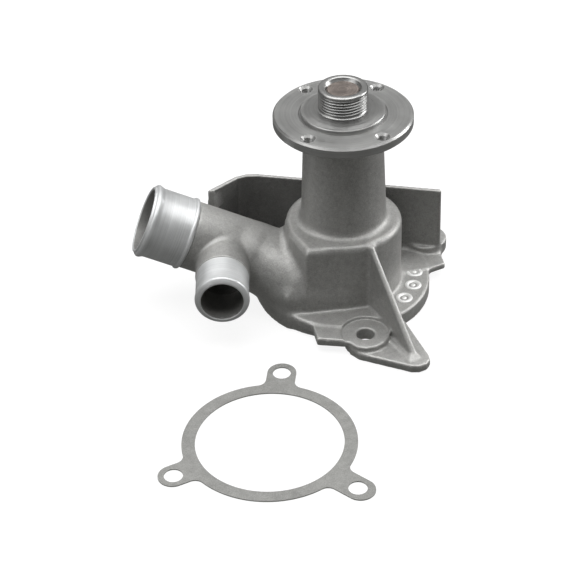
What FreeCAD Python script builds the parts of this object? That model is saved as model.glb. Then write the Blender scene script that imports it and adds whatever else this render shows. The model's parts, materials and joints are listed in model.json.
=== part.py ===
import FreeCAD, Part
import math
import os

# Coolant pump for an in-line engine. The cast body stands on its gasket face with the shaft upright.
# Origin: centre of the gasket face on the shaft axis. +Z runs up the shaft to the pulley flange,
# -X towards the large hose neck, -Y towards the small hose neck. Millimetres.

# Tower top, pulley flange standing a small gap above it, and threaded nose
TOWER_TOP = 96.5
HUB_GAP = 0.7
HUB_BOSS_R = 13.0
HUB_BOSS_H = 1.6
FLANGE_R = 34.0
FLANGE_T = 5.5
FLANGE_TOP = TOWER_TOP + HUB_GAP + HUB_BOSS_H + FLANGE_T
PULLEY_SPACING_X = 35.0
PULLEY_SPACING_Y = 46.0
PULLEY_TAP_R = 2.5
PULLEY_SINK_R = 3.8
PILOT_R = 20.6
PILOT_H = 2.0
NOSE_R = 12.0
NOSE_RISE = 14.3
NOSE_TOP = FLANGE_TOP + NOSE_RISE
NOSE_CHAMFER = 0.8
THREAD_RISE = 6.1
THREAD_FOOT = FLANGE_TOP + THREAD_RISE
SWEEP_R = 16.0
SWEEP_SAG = 0.3

# Shaft
SHAFT_R = 7.96
SHAFT_BOTTOM = 1.6
SHAFT_RECESS = 1.3
SHAFT_CHAMFER = 0.6

# Bearing tower, whose walls stand round the bearing
BEARING_R = 15.0
TOWER_FOOT_WALL = 6.3
TOWER_TOP_WALL = 4.4
TOWER_FOOT_R = BEARING_R + TOWER_FOOT_WALL
TOWER_TOP_R = BEARING_R + TOWER_TOP_WALL
TOWER_FILLET = 3.0

# Shaft bearing: one ball row above, one roller row below, running straight on the shaft
BEARING_BOTTOM = 43.0
BEARING_RECESS = 4.0
BEARING_LENGTH = TOWER_TOP - BEARING_RECESS - BEARING_BOTTOM
RACE_R = 11.5
RACE_PLAY = 0.05
BALL_R = 2.4
BALL_COUNT = 9
BALL_Z = 81.0
ROLLER_COUNT = 11
ROLLER_LENGTH = 11.0
ROLLER_Z = 57.0
CAGE_HALF_WALL = 0.65
CAGE_PLAY = 0.12
CAGE_MARGIN = 2.0
SHIELD_T = 1.4
SHIELD_INSET = 0.8
SHIELD_PLAY = 0.06

# Body drum and front block
BODY_R = 29.0
SHOULDER_TOP = 45.0
SHOULDER_ROUND = 2.0
FACE_Y = -28.6
FACE_SLOPE = 0.125
BLOCK_LEFT_X = -28.8
BLOCK_CORNER_X = -19.5
BLOCK_LEAN = 1.0
BLOCK_RIGHT_X = 12.2

# Bowl on the gasket face
BOWL_R = 43.5
BOWL_CAVITY_R = 35.0
BOWL_CAVITY_H = 5.6
LEDGE_Z = 8.0
BOWL_WALL_TOP = 20.0
BOWL_BACK_ANGLE = 130.0
CHAMBER_R = 25.2
CHAMBER_TOP = 17.0
DUCT_HALF_W = 12.0
DUCT_LENGTH = 34.0

# Face seal between chamber and bearing; its rings share the room between the shaft and the spring
SEAL_BORE_R = 18.2
SEAL_BORE_TOP = 38.0
THROAT_LEDGE = 2.5
THROAT_R = BEARING_R - THROAT_LEDGE
SEAL_CASE_T = 1.0
SEAL_CASE_BOTTOM = 24.0
FACE_Z = 22.0
FACE_GAP = 0.05
RETAINER_GAP = 0.6
RETAINER_R = SEAL_BORE_R - SEAL_CASE_T - RETAINER_GAP
RETAINER_T = 1.2
SPRING_INSET = 2.0
SPRING_R = RETAINER_R - SPRING_INSET
SPRING_WIRE_R = 0.7
SPRING_TURNS = 4
SEAT_T = 4.0
CUP_T = 2.2
CARBON_H = 3.4
BELLOWS_T = 1.3
SEAL_ROOM = SPRING_R - SPRING_WIRE_R - SHAFT_R
SEAL_HOLE_R = SHAFT_R + SEAL_ROOM * 0.276
CARBON_IN_R = SHAFT_R + SEAL_ROOM * 0.377
BELLOWS_R = SHAFT_R + SEAL_ROOM * 0.68
CUP_R = SHAFT_R + SEAL_ROOM * 0.747
CARBON_R = SHAFT_R + SEAL_ROOM * 0.916
SEAT_R = SHAFT_R + SEAL_ROOM * 1.185
SEAL_PLAY = 0.4
SLINGER_GAP = 1.5
SLINGER_R = THROAT_R - SLINGER_GAP
SLINGER_T = 1.8
SLINGER_Z = 39.6

# Weep hole from the throat to the back of the drum
WEEP_R = 2.2
WEEP_Z = 40.5
WEEP_ANGLE = 150.0

# Impeller
IMPELLER_RIM_GAP = 4.0
IMPELLER_R = BOWL_CAVITY_R - IMPELLER_RIM_GAP
IMPELLER_BOTTOM = 0.8
IMPELLER_DISC_T = 1.4
IMPELLER_HUB_WALL = 3.54
IMPELLER_HUB_R = SHAFT_R + IMPELLER_HUB_WALL
IMPELLER_HUB_TOP = 15.6
IMPELLER_PLAY = 0.5
VANE_COUNT = 6
VANE_T = 2.2
VANE_SWEEP = 52.0
BALANCE_HOLE_R = 2.6
BALANCE_HOLE_RING_R = 16.5
BALANCE_HOLE_LEAD = 0.1
VANE_TOP_GAP = 2.0
VANE_BEND = 0.38

# Large hose neck: straight pipe rising towards -X in the plane y = NECK_Y
NECK_Y = -1.4
NECK_BASE_Z = 2.6
NECK_RISE = 23.9
NECK_LENGTH = 109.0
NECK_CAST_R = 17.2
NECK_TURNED_R = 17.8
NECK_BEAD_R = 18.7
NECK_BEAD_W = 2.6
NECK_TURNED_LENGTH = 22.5
NECK_BORE_R = 15.6
NECK_BORE_ROOT_R = 14.0
NECK_BORE_END = 30.0

# Small hose neck: level pipe towards -Y, out of the large neck
SMALL_X = -60.8
SMALL_Z = 28.8
SMALL_LENGTH = 46.9
SMALL_CAST_R = 14.0
SMALL_TURNED_R = 13.1
SMALL_BEAD_R = 13.75
SMALL_BEAD_W = 2.8
SMALL_TURNED_LENGTH = 19.5
SMALL_BORE_R = 10.4

# Mounting bolts to the block: distance from the shaft and direction, shared with the gasket
BOLT_R = (49.0, 51.7, 50.0)
BOLT_ANGLE = (-80.0, 32.5, 156.0)
BOLT_HOLE_R = 4.4
EAR_BOSS_R = (10.3, 10.9, 10.9)
EAR_FOOT_R = (10.3, 7.6, 7.6)
EAR_CONE_TOP = 5.5
EAR_BOSS_TOP = (7.2, 11.5, 11.5)
SPOT_R = 11.8

# Front ear web, foot and gusset
WEB_BOTTOM = 3.5
WEB_LEFT_X = -28.71
WEB_LEFT_STEP = ((-17.3, -41.2), (-15.3, -52.3), (1.1, -54.8))
WEB_RIGHT_CORNER = (20.4, -50.3)
WEB_RIM = 0.3
WEB_ARC_END = -36.87
WEB_RIDGE = ((10.9, -27.0), (19.8, -48.0))
FOOT_T = 4.3
FOOT_TIP_R = 7.0
FOOT_TIP = (32.0, -64.5)
FOOT_LEFT = ((12.2, -40.0), (9.5, -62.3), (29.6, -71.1))
FOOT_RIGHT_ROOT = (28.7, -34.0)
FOOT_RIDGE = ((20.9, -51.3), (29.5, -66.0))
GUSSET_T = 3.0
GUSSET_HEAD = (13.0, -27.5)
GUSSET_HEAD_Z = 44.0
RIDGE_H = 1.2
RIDGE_W = 1.6

# Back plate and shield wall
BACK_PLATE_BOTTOM = 4.6
TAB = ((45.0, 4.1), (52.3, 7.8), (51.0, 16.0))
PLATE_BACK_LEFT = (-45.0, 41.5)
WALL_T = 2.6
WALL_TOP = 45.1
WALL_RIGHT = (49.3, 20.0)
WALL_CORNER = (-51.8, 40.9)
WALL_LEFT = (-67.3, 25.2)
WALL_BEND_R = 12.0

# Round marker buttons on the ledge
BUTTON_R = 3.2
BUTTON_H = 0.5
BUTTON_RING_R = 36.0
BUTTON_ANGLES = (1.7, -16.4, -35.4)

# Loose gasket, lying on the ground beside the pump
GASKET_CENTRE = (-39.2, -118.5)
GASKET_TURN = -73.2
GASKET_T = 0.6
GASKET_IN_R = 34.6
GASKET_OUT_R = 40.8
GASKET_EAR_R = 7.0
GASKET_EAR_SHIFT = (0.2, 1.4, 0.3)
GASKET_CORNER_R = 4.5

CUT_MARGIN = 1.0

Vector = FreeCAD.Vector
ORIGIN = Vector(0, 0, 0)
UP = Vector(0, 0, 1)


def polar(radius, angle):
    """Point at this radius and angle in degrees, as an (x, y) pair."""
    turn = math.radians(angle)
    return (radius * math.cos(turn), radius * math.sin(turn))


def disc(radius, low, high, centre=(0, 0)):
    """Upright cylinder between two heights."""
    return Part.makeCylinder(radius, high - low, Vector(centre[0], centre[1], low))


def ring(outer, inner, low, high):
    """Upright tube about the shaft axis between two heights."""
    return disc(outer, low, high).cut(disc(inner, low - CUT_MARGIN, high + CUT_MARGIN))


def outline(start, *steps):
    """Closed wire in the ground plane. A point adds a line; a pair (through, end) adds an arc."""
    edges = []
    here = Vector(start[0], start[1], 0)
    for step in steps + (start,):
        is_arc = isinstance(step[0], tuple)
        goal = step[1] if is_arc else step
        end = Vector(goal[0], goal[1], 0)
        if is_arc:
            through = Vector(step[0][0], step[0][1], 0)
            edges.append(Part.Arc(here, through, end).toShape())
        elif not end.isEqual(here, 1e-6):
            edges.append(Part.makeLine(here, end))
        here = end
    return Part.Wire(edges)


def plate(wire, low, high):
    """Flat plate of the wire's outline between two heights."""
    face = Part.Face(wire)
    face.translate(UP * low)
    return face.extrude(UP * (high - low))


def lathe(profile):
    """Solid of revolution about Z; the profile's x is the radius and its y is the height."""
    face = Part.Face(profile)
    face.rotate(ORIGIN, Vector(1, 0, 0), 90)
    return face.revolve(ORIGIN, UP, 360)


def aim(shape, base, direction):
    """Moves a shape built up the Z axis so that it starts at base and runs along direction."""
    shape.Placement = FreeCAD.Placement(base, FreeCAD.Rotation(UP, direction)).multiply(shape.Placement)
    return shape


def union(shapes):
    """One solid from shapes that share volume, with split faces joined."""
    return shapes[0].multiFuse(shapes[1:]).removeSplitter()


def hose_pipe(length, cast_r, turned_r, bead_r, bead_w, turned_length):
    """Pipe blank up Z: cast stretch, then a turned end with a bead at each end of it."""
    shoulder = length - turned_length
    half = bead_w / 2
    return lathe(outline(
        (0, 0), (cast_r, 0), (cast_r, shoulder - half), (bead_r, shoulder - half),
        (bead_r, shoulder), (turned_r, shoulder + half), (turned_r, length - bead_w - half),
        ((bead_r, length - bead_w / 2 - half / 2), (turned_r, length)), (0, length)))


def large_neck_axis():
    """Unit vector up the large neck."""
    rise = math.radians(NECK_RISE)
    return Vector(-math.cos(rise), 0, math.sin(rise))


def large_neck():
    """Large neck blank, from inside the bowl to its mouth."""
    pipe = hose_pipe(NECK_LENGTH, NECK_CAST_R, NECK_TURNED_R, NECK_BEAD_R, NECK_BEAD_W,
                     NECK_TURNED_LENGTH)
    return aim(pipe, Vector(0, NECK_Y, NECK_BASE_Z), large_neck_axis())


def large_bore():
    """Tapered bore of the large neck, from its mouth to the duct into the chamber."""
    bore = Part.makeCone(NECK_BORE_ROOT_R, NECK_BORE_R, NECK_LENGTH + CUT_MARGIN - NECK_BORE_END,
                         Vector(0, 0, NECK_BORE_END))
    return aim(bore, Vector(0, NECK_Y, NECK_BASE_Z), large_neck_axis())


def small_neck():
    """Small neck blank, from the large neck's axis to its mouth."""
    pipe = hose_pipe(SMALL_LENGTH, SMALL_CAST_R, SMALL_TURNED_R, SMALL_BEAD_R, SMALL_BEAD_W,
                     SMALL_TURNED_LENGTH)
    return aim(pipe, Vector(SMALL_X, NECK_Y, SMALL_Z), Vector(0, -1, 0))


def small_bore():
    """Straight bore of the small neck into the large one."""
    bore = Part.makeCylinder(SMALL_BORE_R, SMALL_LENGTH + CUT_MARGIN)
    return aim(bore, Vector(SMALL_X, NECK_Y, SMALL_Z), Vector(0, -1, 0))


def face_y(x):
    """Y of the flat front face at this x."""
    return FACE_Y + FACE_SLOPE * x


def drum():
    """Drum and flat-fronted block up to the shoulder, with the shoulder's edge rounded."""
    block = plate(outline(
        (0, 0), (BLOCK_LEFT_X, 0), (BLOCK_LEFT_X + BLOCK_LEAN, -BODY_R / 2),
        (BLOCK_CORNER_X, face_y(BLOCK_CORNER_X)), (BLOCK_RIGHT_X, face_y(BLOCK_RIGHT_X))),
        0, SHOULDER_TOP)
    whole = union([disc(BODY_R, 0, SHOULDER_TOP), block])
    rim = [edge for edge in whole.Edges if edge.BoundBox.ZMin > SHOULDER_TOP - 0.01]
    return whole.makeFillet(SHOULDER_ROUND, rim)


def tower():
    """Tapered bearing tower with a fillet at its foot."""
    foot = SHOULDER_TOP
    bulge = TOWER_FILLET * (1 - math.sqrt(0.5))
    return lathe(outline(
        (0, LEDGE_Z), (TOWER_FOOT_R, LEDGE_Z), (TOWER_FOOT_R + TOWER_FILLET, foot - SHOULDER_ROUND),
        (TOWER_FOOT_R + TOWER_FILLET, foot),
        ((TOWER_FOOT_R + bulge, foot + bulge), (TOWER_FOOT_R, foot + TOWER_FILLET)),
        (TOWER_TOP_R, TOWER_TOP), (0, TOWER_TOP)))


def bowl():
    """Low ring all round, with a taller wall on the side of the large neck."""
    reach = 2 * BOWL_R
    sector = plate(outline(
        (0, 0), (0, FACE_Y), (-reach, face_y(-reach)), (-reach, reach), polar(reach, BOWL_BACK_ANGLE)),
        0, BOWL_WALL_TOP)
    wall = disc(BOWL_R, 0, BOWL_WALL_TOP).common(sector)
    return union([disc(BOWL_R, 0, LEDGE_Z), wall])


def bolt_place(index):
    """Centre of a mounting bolt."""
    return polar(BOLT_R[index], BOLT_ANGLE[index])


def bolt_bosses():
    """Three round bosses on the gasket face; the rear two narrow to the gasket's ear width."""
    bosses = []
    for index in range(3):
        x, y = bolt_place(index)
        radius = EAR_BOSS_R[index]
        bosses.append(disc(radius, EAR_CONE_TOP, EAR_BOSS_TOP[index], (x, y)))
        if EAR_FOOT_R[index] == radius:
            bosses.append(disc(radius, 0, EAR_CONE_TOP, (x, y)))
        else:
            bosses.append(Part.makeCone(EAR_FOOT_R[index], radius, EAR_CONE_TOP, Vector(x, y, 0)))
    return bosses


def front_web():
    """Web of the front ear, with the stepped edge round the first bolt."""
    bolt = bolt_place(0)
    reach = SPOT_R - WEB_RIM
    end = polar(reach, WEB_ARC_END)
    return plate(outline(
        (WEB_LEFT_X, face_y(WEB_LEFT_X)), *WEB_LEFT_STEP,
        ((bolt[0], bolt[1] - reach), (bolt[0] + end[0], bolt[1] + end[1])),
        WEB_RIGHT_CORNER, (BLOCK_RIGHT_X + WALL_T, FACE_Y / 2), (0, FACE_Y / 2)),
        WEB_BOTTOM, LEDGE_Z)


def foot():
    """Flat foot in front, running to a rounded tip."""
    tip_x, tip_y = FOOT_TIP
    round_x, round_y = polar(FOOT_TIP_R, -45)
    return plate(outline(
        *FOOT_LEFT, ((tip_x + round_x, tip_y + round_y), (tip_x + FOOT_TIP_R, tip_y)),
        FOOT_RIGHT_ROOT), 0, FOOT_T)


def gusset():
    """Upright triangular rib from the shoulder's front corner down to the foot's tip."""
    head = Vector(GUSSET_HEAD[0], GUSSET_HEAD[1], 0)
    toe = Vector(FOOT_TIP[0], FOOT_TIP[1], 0)
    along = (toe - head).normalize()
    side = Vector(-along.y, along.x, 0) * (GUSSET_T / 2)
    inner = head - along * (BODY_R / 3)
    corners = [inner, head + UP * GUSSET_HEAD_Z, toe + UP * FOOT_T, toe]
    corners.insert(1, inner + UP * GUSSET_HEAD_Z)
    face = Part.Face(Part.makePolygon([corner - side for corner in corners + corners[:1]]))
    return face.extrude(side * 2)


def ridge(start, end, top):
    """Low straight ridge on top of the ear or foot."""
    low = Vector(start[0], start[1], top - RIDGE_H)
    run = Vector(end[0], end[1], top - RIDGE_H) - low
    bar = Part.makeBox(RIDGE_W, 2 * RIDGE_H, run.Length, Vector(-RIDGE_W / 2, -RIDGE_H, 0))
    return aim(bar, low, run)


def back_plate():
    """Thin plate behind the bowl that carries the shield wall and the two rear bosses."""
    return plate(outline(
        (BODY_R, 0), *TAB, WALL_RIGHT, (WALL_RIGHT[0], WALL_RIGHT[1] + WALL_T),
        PLATE_BACK_LEFT, WALL_CORNER, WALL_LEFT, (-BODY_R, 0)),
        BACK_PLATE_BOTTOM, LEDGE_Z)


def shield_wall():
    """Thin upright wall: a long straight stretch, one bend, and a short stretch cut off square to Y."""
    right = Vector(WALL_RIGHT[0], WALL_RIGHT[1], 0)
    corner = Vector(WALL_CORNER[0], WALL_CORNER[1], 0)
    left = Vector(WALL_LEFT[0], WALL_LEFT[1], 0)
    first = (corner - right).normalize()
    second = (left - corner).normalize()
    turn = first.getAngle(second)
    setback = WALL_BEND_R * math.tan(turn / 2)
    centre = corner - first * setback + Vector(-first.y, first.x, 0) * WALL_BEND_R
    middle = (corner - centre).normalize()
    half = WALL_T / 2
    side_first = Vector(-first.y, first.x, 0) * half
    side_second = Vector(-second.y, second.x, 0) * half
    bend_in = corner - first * setback
    bend_out = corner + second * setback
    tail = left + second * WALL_T

    def flat(point):
        return (point.x, point.y)

    wire = outline(
        flat(right - side_first), flat(bend_in - side_first),
        (flat(centre + middle * (WALL_BEND_R + half)), flat(bend_out - side_second)),
        flat(tail - side_second), flat(tail + side_second), flat(bend_out + side_second),
        (flat(centre + middle * (WALL_BEND_R - half)), flat(bend_in + side_first)),
        flat(right + side_first))
    beyond = Part.makeBox(2 * BOWL_R, BOWL_R, 2 * WALL_TOP,
                          Vector(WALL_LEFT[0] - BOWL_R, WALL_LEFT[1] - BOWL_R, 0))
    return plate(wire, BACK_PLATE_BOTTOM, WALL_TOP).cut(beyond)


def buttons():
    """Round marker buttons raised on the ledge."""
    return [disc(BUTTON_R, LEDGE_Z - BUTTON_H, LEDGE_Z + BUTTON_H, polar(BUTTON_RING_R, angle))
            for angle in BUTTON_ANGLES]


def housing_cavity():
    """Everything hollow about the shaft axis: bowl, chamber, seal bore, throat and bearing bore."""
    return lathe(outline(
        (0, -CUT_MARGIN), (BOWL_CAVITY_R, -CUT_MARGIN), (BOWL_CAVITY_R, BOWL_CAVITY_H),
        (CHAMBER_R, BOWL_CAVITY_H), (CHAMBER_R, CHAMBER_TOP), (SEAL_BORE_R, CHAMBER_TOP),
        (SEAL_BORE_R, SEAL_BORE_TOP), (THROAT_R, SEAL_BORE_TOP), (THROAT_R, BEARING_BOTTOM),
        (BEARING_R, BEARING_BOTTOM), (BEARING_R, TOWER_TOP + CUT_MARGIN), (0, TOWER_TOP + CUT_MARGIN)))


def duct():
    """Opening between the large bore and the chamber."""
    return Part.makeBox(DUCT_LENGTH, 2 * DUCT_HALF_W, CHAMBER_TOP - BOWL_CAVITY_H,
                        Vector(-DUCT_LENGTH, NECK_Y - DUCT_HALF_W, BOWL_CAVITY_H))


def weep_hole():
    """Drain drilled from the throat out through the back of the drum."""
    x, y = polar(1, WEEP_ANGLE)
    return Part.makeCylinder(WEEP_R, BODY_R + 2 * CUT_MARGIN, Vector(0, 0, WEEP_Z), Vector(x, y, 0))


def bolt_cuts():
    """Bolt holes and the spot-faces above them."""
    cuts = []
    for index in range(3):
        place = bolt_place(index)
        cuts.append(disc(BOLT_HOLE_R, -CUT_MARGIN, WALL_TOP / 2, place))
    cuts.append(disc(SPOT_R, EAR_BOSS_TOP[0], LEDGE_Z + RIDGE_H + CUT_MARGIN, bolt_place(0)))
    return cuts


def housing():
    """The casting: all outer forms joined, then every bore and cavity cut."""
    web_ridge = ridge(*WEB_RIDGE, LEDGE_Z)
    foot_ridge = ridge(*FOOT_RIDGE, FOOT_T)
    forms = [drum(), tower(), bowl(), large_neck(), small_neck(), front_web(), foot(), gusset(),
             web_ridge, foot_ridge, back_plate(), shield_wall()]
    solid = union(forms + bolt_bosses() + buttons())
    reach = 2 * NECK_LENGTH
    below = Part.makeBox(2 * reach, 2 * reach, reach, Vector(-reach, -reach, -reach))
    cuts = [below, housing_cavity(), large_bore(), small_bore(), duct(), weep_hole()]
    return solid.cut(cuts + bolt_cuts())


def hub_flange():
    """Pulley flange with a raised pilot, a concave sweep and the nose for the fan clutch."""
    bottom = FLANGE_TOP - FLANGE_T
    pilot_top = FLANGE_TOP + PILOT_H
    edge = NOSE_CHAMFER
    waist = (NOSE_R + (SWEEP_R - NOSE_R) * SWEEP_SAG,
             pilot_top + (THREAD_FOOT - pilot_top) * SWEEP_SAG)
    body = lathe(outline(
        (SHAFT_R, bottom - HUB_BOSS_H), (HUB_BOSS_R, bottom - HUB_BOSS_H), (HUB_BOSS_R, bottom),
        (FLANGE_R - edge, bottom), (FLANGE_R, bottom + edge), (FLANGE_R, FLANGE_TOP - edge),
        (FLANGE_R - edge, FLANGE_TOP), (PILOT_R, FLANGE_TOP), (PILOT_R, pilot_top),
        (SWEEP_R, pilot_top), (waist, (NOSE_R, THREAD_FOOT)), (NOSE_R, NOSE_TOP - edge),
        (NOSE_R - edge, NOSE_TOP), (SHAFT_R, NOSE_TOP)))
    cuts = []
    for side_x in (-1, 1):
        for side_y in (-1, 1):
            place = (side_x * PULLEY_SPACING_X / 2, side_y * PULLEY_SPACING_Y / 2)
            cuts.append(disc(PULLEY_TAP_R, bottom - CUT_MARGIN, FLANGE_TOP + CUT_MARGIN, place))
            depth = PULLEY_SINK_R - PULLEY_TAP_R
            cuts.append(Part.makeCone(PULLEY_TAP_R, PULLEY_SINK_R, depth,
                                      Vector(place[0], place[1], FLANGE_TOP - depth)))
    return body.cut(cuts)


def ball_pitch_r():
    """Radius of the circle that balls and rollers travel on."""
    return (SHAFT_R + RACE_R) / 2


def ball_track():
    """Ring-shaped groove that the balls run in, with its play."""
    return Part.makeTorus(ball_pitch_r(), BALL_R + RACE_PLAY, Vector(0, 0, BALL_Z))


def shaft():
    """Ground shaft with chamfered ends and the ball track rolled into it."""
    top = NOSE_TOP - SHAFT_RECESS
    edge = SHAFT_CHAMFER
    bar = lathe(outline(
        (0, SHAFT_BOTTOM), (SHAFT_R - edge, SHAFT_BOTTOM), (SHAFT_R, SHAFT_BOTTOM + edge),
        (SHAFT_R, top - edge), (SHAFT_R - edge, top), (0, top)))
    return bar.cut(ball_track())


def bearing_sleeve():
    """Outer ring of the bearing with its ball track."""
    top = BEARING_BOTTOM + BEARING_LENGTH
    return ring(BEARING_R, RACE_R, BEARING_BOTTOM, top).cut(ball_track())


def bearing_shield(low):
    """Lip shield at one end of the bearing."""
    return ring(RACE_R, SHAFT_R + SHIELD_PLAY, low, low + SHIELD_T)


def bearing_balls():
    """The ball row."""
    balls = []
    for index in range(BALL_COUNT):
        x, y = polar(ball_pitch_r(), 360.0 * index / BALL_COUNT)
        balls.append(Part.makeSphere(BALL_R, Vector(x, y, BALL_Z)))
    return Part.makeCompound(balls)


def ball_cage():
    """Crown cage that spaces the balls from above."""
    pitch = ball_pitch_r()
    cage = ring(pitch + CAGE_HALF_WALL, pitch - CAGE_HALF_WALL, BALL_Z, BALL_Z + BALL_R + CAGE_MARGIN)
    pockets = []
    for index in range(BALL_COUNT):
        x, y = polar(pitch, 360.0 * index / BALL_COUNT)
        pockets.append(Part.makeSphere(BALL_R + CAGE_PLAY, Vector(x, y, BALL_Z)))
    return cage.cut(pockets)


def roller_r():
    """Radius of a roller that fills the race but for its play."""
    return (RACE_R - SHAFT_R) / 2 - RACE_PLAY


def bearing_rollers():
    """The roller row."""
    low = ROLLER_Z - ROLLER_LENGTH / 2
    return Part.makeCompound([
        disc(roller_r(), low, low + ROLLER_LENGTH, polar(ball_pitch_r(), 360.0 * index / ROLLER_COUNT))
        for index in range(ROLLER_COUNT)])


def roller_cage():
    """Window cage round the rollers."""
    pitch = ball_pitch_r()
    low = ROLLER_Z - ROLLER_LENGTH / 2 - CAGE_PLAY
    high = ROLLER_Z + ROLLER_LENGTH / 2 + CAGE_PLAY
    cage = ring(pitch + CAGE_HALF_WALL, pitch - CAGE_HALF_WALL, low - CAGE_MARGIN, high + CAGE_MARGIN)
    return cage.cut([disc(roller_r() + CAGE_PLAY, low, high, polar(pitch, 360.0 * index / ROLLER_COUNT))
                     for index in range(ROLLER_COUNT)])


def seal_case():
    """Pressed metal cup that holds the still half of the face seal."""
    shell = disc(SEAL_BORE_R, SEAL_CASE_BOTTOM, SEAL_BORE_TOP)
    inside = disc(SEAL_BORE_R - SEAL_CASE_T, SEAL_CASE_BOTTOM - CUT_MARGIN, SEAL_BORE_TOP - SEAL_CASE_T)
    hole = disc(SEAL_HOLE_R, SEAL_CASE_BOTTOM, SEAL_BORE_TOP + CUT_MARGIN)
    return shell.cut([inside, hole])


def carbon_top():
    """Height of the carbon ring's back."""
    return FACE_Z + FACE_GAP + CARBON_H


def carbon_face():
    """Carbon ring that rubs on the mating ring."""
    return ring(CARBON_R, CARBON_IN_R, FACE_Z + FACE_GAP, carbon_top())


def spring_retainer():
    """Thin ring on the carbon that the spring pushes on."""
    low = carbon_top()
    return ring(RETAINER_R, CARBON_IN_R, low, low + RETAINER_T)


def spring_room():
    """Lowest and highest level of the spring and the bellows."""
    return (carbon_top() + RETAINER_T, SEAL_BORE_TOP - SEAL_CASE_T)


def seal_spring():
    """Open coil spring between the case and the retainer."""
    low, high = spring_room()
    gap = SPRING_WIRE_R + SEAL_PLAY / 4
    rise = high - low - 2 * gap
    helix = Part.makeHelix(rise / SPRING_TURNS, rise, SPRING_R)
    section = Part.Wire(Part.Circle(Vector(SPRING_R, 0, 0), Vector(0, 1, 0), SPRING_WIRE_R).toShape())
    wire = Part.Wire(helix).makePipeShell([section], True, True)
    wire.translate(UP * (low + gap))
    return wire


def seal_bellows():
    """Rubber bellows inside the spring: a tube with one fold."""
    low, high = spring_room()
    middle = (low + high) / 2
    fold = BELLOWS_R - BELLOWS_T / 2
    return lathe(outline(
        (fold, low), (BELLOWS_R + BELLOWS_T / 2, middle), (fold, high),
        (fold - BELLOWS_T, high), (BELLOWS_R - BELLOWS_T / 2, middle), (fold - BELLOWS_T, low)))


def mating_ring():
    """Hard ring that turns with the shaft under the carbon."""
    return ring(SEAT_R, CUP_R, FACE_Z - SEAT_T, FACE_Z)


def mating_ring_cup():
    """Rubber cup that seats the mating ring on the shaft above the impeller."""
    return ring(CUP_R, SHAFT_R, IMPELLER_HUB_TOP, FACE_Z - SEAL_PLAY).fuse(
        ring(SEAT_R, SHAFT_R, FACE_Z - SEAT_T - CUP_T, FACE_Z - SEAT_T)).removeSplitter()


def slinger_ring():
    """Ring that throws stray coolant off the shaft towards the weep hole."""
    return ring(SLINGER_R, SHAFT_R, SLINGER_Z, SLINGER_Z + SLINGER_T)


def vane(start_angle):
    """One backward-curved vane, before its top is trimmed."""
    radii = (IMPELLER_HUB_R - CUT_MARGIN, (IMPELLER_HUB_R + IMPELLER_R) / 2, IMPELLER_R)
    angles = (start_angle, start_angle - VANE_SWEEP * VANE_BEND, start_angle - VANE_SWEEP)
    halves = [math.degrees(VANE_T / 2 / radius) for radius in radii]
    left = [polar(r, a + h) for r, a, h in zip(radii, angles, halves)]
    right = [polar(r, a - h) for r, a, h in zip(radii, angles, halves)]
    wire = outline(left[0], (left[1], left[2]), right[2], (right[1], right[0]))
    return plate(wire, IMPELLER_BOTTOM, IMPELLER_HUB_TOP - CUT_MARGIN)


def impeller():
    """Semi-open impeller: disc on the block side, vanes up into the suction chamber."""
    disc_top = IMPELLER_BOTTOM + IMPELLER_DISC_T
    rim_top = BOWL_CAVITY_H - IMPELLER_PLAY
    eye_r = CHAMBER_R - IMPELLER_PLAY
    envelope = lathe(outline(
        (0, IMPELLER_BOTTOM), (IMPELLER_R, IMPELLER_BOTTOM), (IMPELLER_R, rim_top), (eye_r, rim_top),
        (eye_r - 2 * VANE_T, CHAMBER_TOP - VANE_TOP_GAP), (0, CHAMBER_TOP - VANE_TOP_GAP)))
    vanes = [vane(360.0 * index / VANE_COUNT).common(envelope) for index in range(VANE_COUNT)]
    body = union([disc(IMPELLER_R, IMPELLER_BOTTOM, disc_top),
                  disc(IMPELLER_HUB_R, IMPELLER_BOTTOM, IMPELLER_HUB_TOP)] + vanes)
    cuts = [disc(SHAFT_R, IMPELLER_BOTTOM - CUT_MARGIN, IMPELLER_HUB_TOP + CUT_MARGIN)]
    for index in range(VANE_COUNT // 2):
        place = polar(BALANCE_HOLE_RING_R, 360.0 * (2 * index + BALANCE_HOLE_LEAD) / VANE_COUNT)
        cuts.append(disc(BALANCE_HOLE_R, IMPELLER_BOTTOM - CUT_MARGIN, disc_top + CUT_MARGIN, place))
    return body.cut(cuts)


def gasket_ear(index):
    """Ear of the gasket: a rounded end on straight flanks, run into the ring."""
    end_x = BOLT_R[index] + GASKET_EAR_SHIFT[index]
    ear = plate(outline(
        (GASKET_IN_R, -GASKET_EAR_R), (end_x, -GASKET_EAR_R),
        ((end_x + GASKET_EAR_R, 0), (end_x, GASKET_EAR_R)), (GASKET_IN_R, GASKET_EAR_R)), 0, GASKET_T)
    ear.rotate(ORIGIN, UP, BOLT_ANGLE[index] + GASKET_TURN)
    return ear


def gasket():
    """Flat fibre gasket with the block's bolt pattern, lying turned beside the pump."""
    whole = union([disc(GASKET_OUT_R, 0, GASKET_T)] + [gasket_ear(index) for index in range(3)])
    inside = [edge for edge in whole.Edges
              if edge.BoundBox.ZLength > GASKET_T / 2
              and abs(math.hypot(edge.CenterOfMass.x, edge.CenterOfMass.y) - GASKET_OUT_R) < 0.01]
    whole = whole.makeFillet(GASKET_CORNER_R, inside)
    cuts = [disc(GASKET_IN_R, -CUT_MARGIN, GASKET_T + CUT_MARGIN)]
    for index in range(3):
        place = polar(BOLT_R[index], BOLT_ANGLE[index] + GASKET_TURN)
        cuts.append(disc(BOLT_HOLE_R, -CUT_MARGIN, GASKET_T + CUT_MARGIN, place))
    flat = whole.cut(cuts)
    flat.translate(Vector(GASKET_CENTRE[0], GASKET_CENTRE[1], 0))
    return flat


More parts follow.
